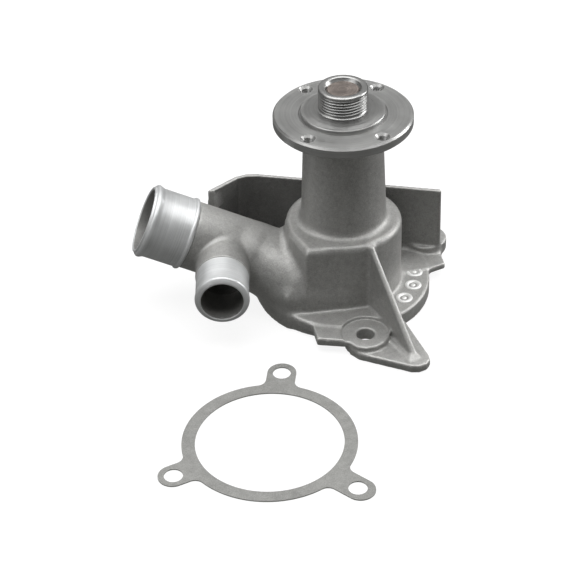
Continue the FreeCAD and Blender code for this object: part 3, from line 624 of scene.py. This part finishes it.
def casting_forms(settings):
    """Every form of the casting in order: how it acts, its fillet, its room, and its distance."""
    wall, shoulder = settings.wall_thickness / MM, settings.shoulder_round / MM
    neck, foot = settings.neck_fillet / MM, settings.tower_fillet / MM
    drain = np.array((*polar(1, 150), 0.0))
    ear_x, ear_y = FRONT_EAR
    forms = [
        ("join", 0.0, (-30, -34, 0), (30, 30, 46), lambda x, y, z: drum_distance(x, y, z, shoulder)),
        ("join", foot, (-25, -25, 8), (25, 25, 97), tower_distance),
        ("join", 2.2, (-44, -44, 0), (44, 44, 9), post((0, 0), BOWL_R, BELOW, LEDGE, 1.3)),
        ("join", 4.0, (-44, -44, 0), (12, 44, 21), bowl_wall_distance),
        ("join", 2.0, (-70, -1, 4), (54, 44, 9), plate(BACK_PLATE, PLATE_LOW, LEDGE, 0.8)),
        ("join", 4.0, (-70, 17, 4), (52, 44, 46), lambda x, y, z: wall_distance(x, y, z, wall)),
        ("join", neck, (-95, -20, 0), (6, 18, 62), pipe(LARGE_BASE, LARGE_AXIS, LARGE_ROOT, LARGE_CAST_R)),
        ("join", 3.5, (-66, -33, -8), (-8, 12, 46),
         bar((-46.0, -4.6, 24.5), (-25.2, -12.4, 15.6), 15.6, 18.9)),
        ("join", 1.5, (-76, -32, 10), (-44, 2, 48), pipe(SMALL_BASE, SMALL_AXIS, SMALL_ROOT, SMALL_CAST_R)),
        ("join", 2.2, (-30, -61, 3), (22, -13, 9), plate(EAR_WEB, 3.5, LEDGE, 1.0)),
        ("join", 1.2, (0, -73, 0), (40, -33, 5), plate(FOOT_PLATE, -5, FOOT_TOP, 1.0)),
        ("join", 2.4, (3, -68, 0), (36, -18, 45), gusset_distance),
        ("join", 1.0, (8, -51, 5), (23, -25, 11), bar((10.9, -27, 8.0), (19.8, -48, 8.0), 1.0, 1.0)),
        ("join", 1.0, (18, -69, 2), (32, -49, 7), bar((20.9, -51.3, 4.2), (29.5, -66, 4.2), 0.9, 0.9)),
        ("join", 1.0, (-3, -60, 0), (20, -37, 8), post(FRONT_EAR, 10.3, -5, EAR_TOP, 0.8)),
    ]
    for place in (RIGHT_EAR, LEFT_EAR):
        forms.append(("join", 1.5, (place[0] - 12, place[1] - 12, 0), (place[0] + 12, place[1] + 12, 12),
                      lambda x, y, z, place=place: boss_distance(x, y, z, place)))
    forms += [
        ("join", 0.6, (-31, -34, 0), (-28, -30, 21), bar((-29.6, -31.4, -2), (-29.6, -31.4, 18.5), 0.7, 0.7)),
        ("carve", 0.0, (-200, -200, -20), (200, 200, 0), lambda x, y, z: z + 0 * x + 0 * y),
        ("carve", 0.4, (-36, -36, -3), (36, 36, 100), lambda x, y, z: outline(np.hypot(x, y), z, CAVITY)),
        ("carve", 0.4, (-34, -15, 5), (0, 12, 18), plate(VOLUTE_PASSAGE, 5.6, 17.0, 0.5)),
        ("carve", 0.4, (-110, -19, 8), (-20, 17, 66), large_bore),
        ("carve", 0.4, (-74, -52, 16), (-48, 2, 42),
         pipe(SMALL_BASE, SMALL_AXIS, SMALL_LENGTH + 3, SMALL_BORE_R)),
        ("carve", 0.3, (-32, 4, 37), (2, 20, 44), pipe((0, 0, 40.5), drain, 34, 2.2)),
        ("carve", 0.5, (ear_x - 13, ear_y - 13, 7), (ear_x + 13, ear_y + 13, 11),
         post(FRONT_EAR, 11.8, EAR_TOP, 14, 0.3)),
    ]
    for place in EARS:
        forms.append(("carve", 0.5, (place[0] - 6, place[1] - 6, -2), (place[0] + 6, place[1] + 6, 24),
                      post(place, BOLT_R, -6, 23, 0.3)))
    return forms


def casting_surface(settings):
    """Points and faces of the casting: its forms are sampled on a grid, each in its own room, and skinned."""
    step = settings.grid / MM
    low, high = node_box("housing")
    low, high = low - 3 * step, high + 3 * step
    axes = [np.arange(low[i], high[i], step, dtype=np.float32) for i in range(3)]
    field = np.full([len(axis) for axis in axes], FAR_OUT, np.float32)
    for way, fillet, room_low, room_high, form in casting_forms(settings):
        reach = fillet + 3 * step
        room = tuple(slice(*np.searchsorted(axis, (a - reach, b + reach)))
                     for axis, a, b in zip(axes, room_low, room_high))
        x, y, z = np.ix_(*[axis[part] for axis, part in zip(axes, room)])
        here = np.broadcast_to(form(x, y, z), field[room].shape)
        field[room] = join(field[room], here, fillet) if way == "join" else carve(field[room], here, fillet)
    return skin(field, np.array([axis[0] for axis in axes]), step)


def mark_painted_shade(mesh):
    """Painted shade: an attribute that is one on the shield wall's front, about half inside both necks, and
    nought elsewhere, which darkens the casting's colour.

    The front is where a point lies behind the bowl and faces forwards, away from the wall's cut left end.
    The inside of a neck is where a point is nearer its axis than its bore's wall.
    """
    count = len(mesh.vertices)
    points, normals = np.empty(count * 3, np.float32), np.empty(count * 3, np.float32)
    mesh.vertices.foreach_get("co", points)
    mesh.vertices.foreach_get("normal", normals)
    x, y, z = points.reshape(-1, 3).T / MM
    front = np.clip((y - 18.0) / 8.0, 0, 1) * np.clip((-0.3 - normals.reshape(-1, 3)[:, 1]) / 0.3, 0, 1)
    front = front * (z > LEDGE + 1.0) * ~((x < -64.0) & (y < 25.8))
    run, off = along(x, y, z, LARGE_BASE, LARGE_AXIS)
    large = (off < 16.2) & (run > 40.0)
    run, off = along(x, y, z, SMALL_BASE, SMALL_AXIS)
    small = (off < 11.2) & (run > 0.0)
    share = np.maximum(front, 0.45 * (large | small))
    mesh.attributes.new("cast_skin", "FLOAT", "POINT").data.foreach_set("value", share.astype(np.float32))


# ---------------------------------------------------------------- operators

class PUMP_OT_casting(bpy.types.Operator):
    """Build the cast housing from its rounded forms"""
    bl_idname = "pump.casting"
    bl_label = "Build Casting"

    def execute(self, context):
        casting = context.scene.pump_casting
        points, faces = casting_surface(casting)
        mesh = mesh_of("casting", points, faces)
        finish = blasted_aluminium("cast_aluminium_blasted", casting.colour)
        piece = piece_of("casting", mesh, finish, "body", "housing", slot="cast_aluminium")
        thin = piece.modifiers.new("thin", "DECIMATE")
        thin.ratio = min(1.0, casting.triangles / (2.0 * len(faces)))
        shown = bpy.data.meshes.new_from_object(piece.evaluated_get(context.evaluated_depsgraph_get()))
        piece.modifiers.clear()
        piece.data = shown
        shown.name = "casting"
        shown.shade_smooth()
        bpy.data.meshes.remove(mesh)
        # Painted shade: marks the shield wall's front and the necks' insides for darkening.
        mark_painted_shade(shown)
        return {"FINISHED"}


class PUMP_OT_hose_ends(bpy.types.Operator):
    """Build the turned ends of both hose necks"""
    bl_idname = "pump.hose_ends"
    bl_label = "Build Hose Ends"

    def execute(self, context):
        aluminium, cast = context.scene.pump_turned.aluminium, context.scene.pump_casting.colour
        finish = turned_metal("turned_aluminium", aluminium, 0.45, 0.3, 0.5, 0.55)
        # The bore's colour is the cast colour at three quarters: painted shade inside the hose ends.
        bore = blasted_aluminium("cast_aluminium_bore", times(cast, 0.75))
        root, mouth = LARGE_ROOT, LARGE_LENGTH
        large = [(15.12, root), (17.15, root)] + arc((17.25, root + 1.35), 1.3, -80, 60, 9)
        large += [(17.8, root + 3.2), (17.8, root + 8), (17.8, root + 13), (17.8, mouth - 5.4),
                  (18.0, mouth - 4.6)] + arc((17.0, mouth - 2.6), 1.7, -25, 75, 9)
        large += [(17.0, mouth - 0.15), (16.6, mouth), (16.1, mouth), (15.6, mouth - 0.5), (15.45, mouth - 8),
                  (15.3, mouth - 16)]
        self.end("large_hose_end", large, 176, LARGE_BASE, LARGE_AXIS, 3, finish, bore)
        root, mouth = SMALL_ROOT, SMALL_LENGTH
        small = [(10.4, root - 0.4), (12.6, root - 0.4), (13.1, root + 0.1), (13.1, root + 5),
                 (13.1, root + 10), (13.12, mouth - 5.0)] + arc((12.0, mouth - 2.3), 1.4, -20, 66, 8)
        small += [(12.0, mouth - 0.55), (11.4, mouth - 0.15), (10.9, mouth), (10.65, mouth - 0.05),
                  (10.4, mouth - 0.3), (10.4, mouth - 9)]
        self.end("small_hose_end", small, 160, SMALL_BASE, SMALL_AXIS, 2, finish, bore)
        return {"FINISHED"}

    def end(self, name, profile, turns, base, axis, last, finish, bore):
        """Turned end of a neck; the last points of its profile lie in the bore, which takes the cast finish
        darkened as painted shade.
        """
        mesh = turned_mesh(name, profile, turns, None, base, axis, 30, len(profile) - last)
        end = piece_of(name, mesh, finish, "body", "housing", slot="cast_aluminium")
        end.data.materials.append(bore)


class PUMP_OT_buttons(bpy.types.Operator):
    """Build the round marker buttons on the ledge"""
    bl_idname = "pump.buttons"
    bl_label = "Build Marker Buttons"

    def execute(self, context):
        finish = turned_metal("struck_aluminium", (0.80, 0.80, 0.79), 0.5, 0.0, 1.0, 0.5)
        profile = [(0.0, -0.3), (4.2, -0.3), (4.2, 0.1), (4.0, 0.35), (3.6, 0.5), (2.9, 0.5), (2.5, 0.35),
                   (2.1, -0.05), (1.6, -0.1), (1.2, 0.0), (0.9, 0.35), (0.5, 0.42), (0.0, 0.42)]
        for index, angle in enumerate((1.7, -16.4, -35.4)):
            x, y = polar(36.0, angle)
            mesh = turned_mesh("marker_button", profile, 48, None, (x, y, LEDGE), UP, 50)
            piece_of("marker_button_%d" % (index + 1), mesh, finish, "body", "housing", slot="cast_aluminium")
        return {"FINISHED"}


class PUMP_OT_hub(bpy.types.Operator):
    """Build the pulley flange with its tapped holes, and the threaded nose"""
    bl_idname = "pump.hub"
    bl_label = "Build Flange and Nose"

    def execute(self, context):
        turned = context.scene.pump_turned
        low, high = node_box("hub_flange")
        rim, nose_top, foot = high[0], high[2], low[2]
        seat = mm(MOUNTS["pulley_seat"]["pos_m"])[2]
        pilot = MOUNTS["pulley_pilot"]["dims"]
        pilot_r, pilot_h = pilot["r_mm"], pilot["length_mm"]
        nose_r = MOUNTS["fan_thread"]["dims"]["r_mm"]
        bore = node_box("shaft")[1][0] + 0.01
        steel = turned_metal("turned_steel_disc", turned.steel, 0.38, 0.35, 0.5, 0.85)
        under, top = seat - 5.5, seat + pilot_h
        disc = [(bore, foot), (13.0, foot), (13.0, under), (rim - 0.9, under), (rim, under + 0.9),
                (rim, seat - 0.9), (rim - 0.9, seat), (30.0, seat), (25.0, seat), (pilot_r + 1.0, seat),
                (pilot_r + 0.6, seat - 0.35), (pilot_r + 0.05, seat - 0.35), (pilot_r, seat),
                (pilot_r, top - 0.35), (pilot_r - 0.35, top), (19.6, top), (18.6, top - 0.1),
                (bore, top - 0.1)]
        mesh = turned_mesh("pulley_flange", disc, 224)
        flange = piece_of("pulley_flange", mesh, steel, "rotor", "hub_flange", slot="turned_steel")
        self.tap(context, flange, under, seat)
        threads = turned_metal("turned_steel_nose", turned.steel, 0.34, 0.4)
        nose = self.nose(turned, bore, nose_r, top, nose_top)
        piece_of("threaded_nose", nose, threads, "rotor", "hub_flange", slot="turned_steel")
        return {"FINISHED"}

    def tap(self, context, flange, under, seat):
        """Cuts the four countersunk, grooved holes out of the flange."""
        dims = MOUNTS["pulley_bolts"]["dims"]
        tap_r = dims["hole_r_mm"]
        levels = np.arange(under - 1.0, seat - 1.2, 0.4)
        wall = [(tap_r + 0.35 * (i % 2), h) for i, h in enumerate(levels)]
        sink = [(tap_r, seat - 1.15), (tap_r + 1.6, seat + 0.45), (0.0, seat + 0.45)]
        profile = [(0.0, under - 1.0)] + wall + sink
        for side_x in (-0.5, 0.5):
            for side_y in (-0.5, 0.5):
                place = (side_x * dims["spacing_x_mm"], side_y * dims["spacing_y_mm"], 0)
                cutter = bpy.data.objects.new("cutter", turned_mesh("cutter", profile, 40, None, place))
                context.scene.collection.objects.link(cutter)
                cut = flange.modifiers.new("hole", "BOOLEAN")
                cut.operation, cut.solver, cut.object = "DIFFERENCE", "EXACT", cutter
                solved = flange.evaluated_get(context.evaluated_depsgraph_get())
                shown = bpy.data.meshes.new_from_object(solved)
                flange.modifiers.clear()
                flange.data = shown
                bpy.data.objects.remove(cutter)
        if len(shown.polygons) < 1000:
            raise RuntimeError("the flange was lost while its holes were cut")
        shown.name = "pulley_flange"
        shown.shade_smooth()
        shown.set_sharp_from_angle(angle=math.radians(20))

    def nose(self, turned, bore, nose_r, top, nose_top):
        """Nose with a concave sweep at its foot and a thread round it.

        The thread's groove is a raised cosine of (height / pitch - turn), faded out at both ends.
        """
        pitch, depth = turned.thread_pitch / MM, turned.thread_depth / MM
        start, end = top + 2.3, nose_top - 1.3
        sweep = [(19.6, top), (18.4, top + 0.1), (nose_r + 1.6, top + 1.0)] + arc(
            (nose_r + 0.8, start), start - top - 0.9, -75, -180, 8)[1:]
        levels = [(nose_r, h) for h in np.linspace(start + 0.15, end, 130)]
        profile = [(bore, top - 0.05), (19.0, top - 0.05)] + sweep + levels + [
            (nose_r, end + 0.15), (nose_r, nose_top - 0.75), (nose_r - 0.25, nose_top - 0.3),
            (nose_r - 0.8, nose_top), (bore + 1.1, nose_top), (bore + 0.8, nose_top - 0.3),
            (bore + 0.7, nose_top - 2.2), (bore, nose_top - 2.4)]

        def groove(t, h):
            wave = np.abs(((h / pitch - t / (2 * math.pi)) % 1.0) - 0.5) * 2
            fade = np.clip((h - start) / 0.8, 0, 1) * np.clip((end - h) / 0.5, 0, 1)
            return -depth * fade * (1 - np.clip(wave * 1.25 - 0.1, 0, 1))

        def held(t, h):
            return np.where((h > start) & (h < end), groove(t, h), 0.0 * t)

        return turned_mesh("threaded_nose", profile, 144, held, (0, 0, 0), UP, 62)


class PUMP_OT_inner_parts(bpy.types.Operator):
    """Give the shaft, bearing, seal and impeller their finishes"""
    bl_idname = "pump.inner_parts"
    bl_label = "Finish Inner Parts"

    def execute(self, context):
        finishes = {
            "ground_steel": plain_metal("shaft_ground_steel", (0.26, 0.225, 0.205), 0.45, 1500.0),
            "bearing_steel": plain_metal("bearing_polished_steel", (0.60, 0.60, 0.61), 0.2, 1200.0),
            "seal_steel": plain_metal("seal_pressed_steel", (0.55, 0.54, 0.51), 0.3, 700.0),
            "cast_iron": plain_metal("impeller_cast_iron", (0.20, 0.19, 0.18), 0.55, 300.0, 0.7),
            "cage_polymer": moulded("cage_moulded_polymer", (0.46, 0.40, 0.27), 0.5),
            "seal_rubber": moulded("seal_black_rubber", (0.035, 0.035, 0.035), 0.6),
            "carbon": moulded("seal_carbon", (0.045, 0.045, 0.047), 0.32, 1400.0),
            "seat_ceramic": moulded("seat_ceramic", (0.72, 0.70, 0.65), 0.25, 1600.0, 0.5),
        }
        for row in frame["record"]["subparts"]:
            finish = finishes.get(row["material_slot"])
            node = frame["nodes"][row["node"]]
            if finish is not None:
                if not node.material_slots:
                    raise RuntimeError(row["node"] + " has no material slot")
                for slot in node.material_slots:
                    slot.material = finish
        return {"FINISHED"}


class PUMP_OT_seal_sprung(bpy.types.Operator):
    """Build copies of the seal's spring and bellows, laid on the body"""
    bl_idname = "pump.seal_sprung"
    bl_label = "Build Sprung Seal Pieces"

    def execute(self, context):
        joints = {row["name"]: row for row in frame["record"]["behaviour"]["joints"]}
        slots = {row["node"]: row["material_slot"] for row in frame["record"]["subparts"]}
        joint = joints["seal_face_lift"]
        for row in joint["deforming_nodes"]:
            source = frame["nodes"][row["node"]]
            mesh = source.data.copy()
            mesh.transform(source.matrix_world)
            work = bmesh.new()
            work.from_mesh(mesh)
            bmesh.ops.remove_doubles(work, verts=work.verts, dist=1e-7)
            work.to_mesh(mesh)
            work.free()
            finish = source.material_slots[0].material
            mesh.materials.clear()
            piece = piece_of("sprung_" + row["node"], mesh, finish, "body", row["node"],
                             slot=slots[row["node"]])
            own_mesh(piece)
        return {"FINISHED"}


class PUMP_OT_gasket(bpy.types.Operator):
    """Give the loose gasket its pressed fibre finish"""
    bl_idname = "pump.gasket"
    bl_label = "Finish Gasket"

    def execute(self, context):
        finish = pressed_fibre(context.scene.pump_gasket.colour)
        for slot in frame["nodes"]["gasket"].material_slots:
            slot.material = finish
        return {"FINISHED"}


FLOOR_SIDE, FLOOR_LEVEL, FLOOR_GLOW, WORLD_STRENGTH = 6.0, -0.0002, 0.88, 0.17
RIGHT_TO_LEFT = 3.6
CAMERA_PLACE, CAMERA_PITCH, CAMERA_ROLL = (-0.0288, -0.7651, 0.5608), 36.2, 1.6


class PUMP_OT_stage(bpy.types.Operator):
    """Set the floor, the soft lights and the camera"""
    bl_idname = "pump.stage"
    bl_label = "Set Stage"

    def execute(self, context):
        stage = context.scene.pump_stage
        mesh = bpy.data.meshes.new("floor")
        ways = ((-1, -1), (1, -1), (1, 1), (-1, 1))
        corners = [(x * FLOOR_SIDE, y * FLOOR_SIDE, FLOOR_LEVEL) for x, y in ways]
        mesh.from_pydata(corners, [], [(0, 1, 2, 3)])
        floor = bpy.data.objects.new("floor", mesh)
        context.scene.collection.objects.link(floor)
        floor.visible_diffuse = floor.visible_glossy = False
        paper = Finish("floor_paper", Metallic=0.0, Roughness=0.9, Specular_IOR_Level=0.1)
        tone = paper.noise(paper.place(), 3.0, 2.0, 0.5)
        paper.put(paper.shader, {
            "Base_Color": paper.mix(tone, times(stage.floor_colour, 0.99), tuple(stage.floor_colour)),
            "Emission_Color": (1.0, 1.0, 1.0), "Emission_Strength": FLOOR_GLOW})
        mesh.materials.append(paper.material)
        world = bpy.data.worlds.new("studio")
        world.use_nodes = True
        sky = world.node_tree.nodes["Background"].inputs
        sky["Color"].default_value, sky["Strength"].default_value = (1.0, 1.0, 0.97, 1.0), WORLD_STRENGTH
        context.scene.world = world
        left, right = stage.side_power, stage.side_power * RIGHT_TO_LEFT
        self.light(context, "overhead", (0.0, 0.12, 1.45), (0.0, 0.0, 0.03), (2.2, 1.5), stage.key_power)
        self.light(context, "behind", (-0.1, 1.5, 1.0), (0.0, 0.0, 0.05), (2.6, 1.2), stage.back_power)
        self.light(context, "left_side", (-1.2, -0.35, 0.95), (-0.05, -0.02, 0.04), (0.8, 0.8), left)
        self.light(context, "right_side", (1.3, 0.35, 0.6), (0.0, 0.0, 0.06), (0.7, 0.7), right)
        context.scene.view_settings.view_transform = "Standard"
        self.camera(context, stage)
        return {"FINISHED"}

    def light(self, context, name, place, target, size, power):
        """Rectangular soft light at a place, turned to a target."""
        lamp = bpy.data.lights.new(name, "AREA")
        lamp.shape, lamp.size, lamp.size_y, lamp.energy = "RECTANGLE", size[0], size[1], power
        holder = bpy.data.objects.new(name, lamp)
        holder.location = place
        holder.visible_camera = False
        holder.rotation_euler = (Vector(target) - Vector(place)).to_track_quat("-Z", "Y").to_euler()
        context.scene.collection.objects.link(holder)

    def camera(self, context, stage):
        """Camera that looks along +Y and down, with a slight roll."""
        pitch, roll = math.radians(CAMERA_PITCH), math.radians(CAMERA_ROLL)
        ahead = np.array((0.0, math.cos(pitch), -math.sin(pitch)))
        right, down = np.array((1.0, 0.0, 0.0)), np.cross(ahead, (1.0, 0.0, 0.0))
        across = math.cos(roll) * right + math.sin(roll) * down
        below = -math.sin(roll) * right + math.cos(roll) * down
        lens = bpy.data.cameras.new("camera")
        lens.sensor_width, lens.lens, lens.clip_start = 36.0, stage.lens, 0.05
        camera = bpy.data.objects.new("camera", lens)
        turn = Matrix((across, -below, -ahead)).transposed().to_4x4()
        camera.matrix_world = Matrix.Translation(CAMERA_PLACE) @ turn
        context.scene.collection.objects.link(camera)
        context.scene.camera = camera


class PUMP_PT_panel(bpy.types.Panel):
    """Sizes, colours and steps of the pump"""
    bl_idname = "PUMP_PT_panel"
    bl_label = "Coolant Pump"
    bl_space_type = "VIEW_3D"
    bl_region_type = "UI"
    bl_category = "Coolant Pump"

    def draw(self, context):
        layout = self.layout
        for name in GROUPS:
            group, box = getattr(context.scene, name), layout.box()
            for key in group.__annotations__:
                box.prop(group, key)
        for step in STEPS:
            layout.operator(step.bl_idname)


GROUPS = {"pump_casting": CastingSettings, "pump_turned": TurnedSettings, "pump_gasket": GasketSettings,
          "pump_stage": StageSettings}
STEPS = (PUMP_OT_stage, PUMP_OT_casting, PUMP_OT_hose_ends, PUMP_OT_buttons, PUMP_OT_hub, PUMP_OT_inner_parts,
         PUMP_OT_seal_sprung, PUMP_OT_gasket)


def register():
    for name, group in GROUPS.items():
        bpy.utils.register_class(group)
        setattr(bpy.types.Scene, name, PointerProperty(type=group))
    for step in STEPS + (PUMP_PT_panel,):
        bpy.utils.register_class(step)


def unregister():
    for step in (PUMP_PT_panel,) + STEPS[::-1]:
        bpy.utils.unregister_class(step)
    for name, group in GROUPS.items():
        delattr(bpy.types.Scene, name)
        bpy.utils.unregister_class(group)


def main():
    register()
    bpy.ops.pump.stage()
    bpy.ops.pump.casting()
    bpy.ops.pump.hose_ends()
    bpy.ops.pump.buttons()
    bpy.ops.pump.hub()
    bpy.ops.pump.inner_parts()
    bpy.ops.pump.seal_sprung()
    bpy.ops.pump.gasket()


if __name__ == "__main__":
    main()
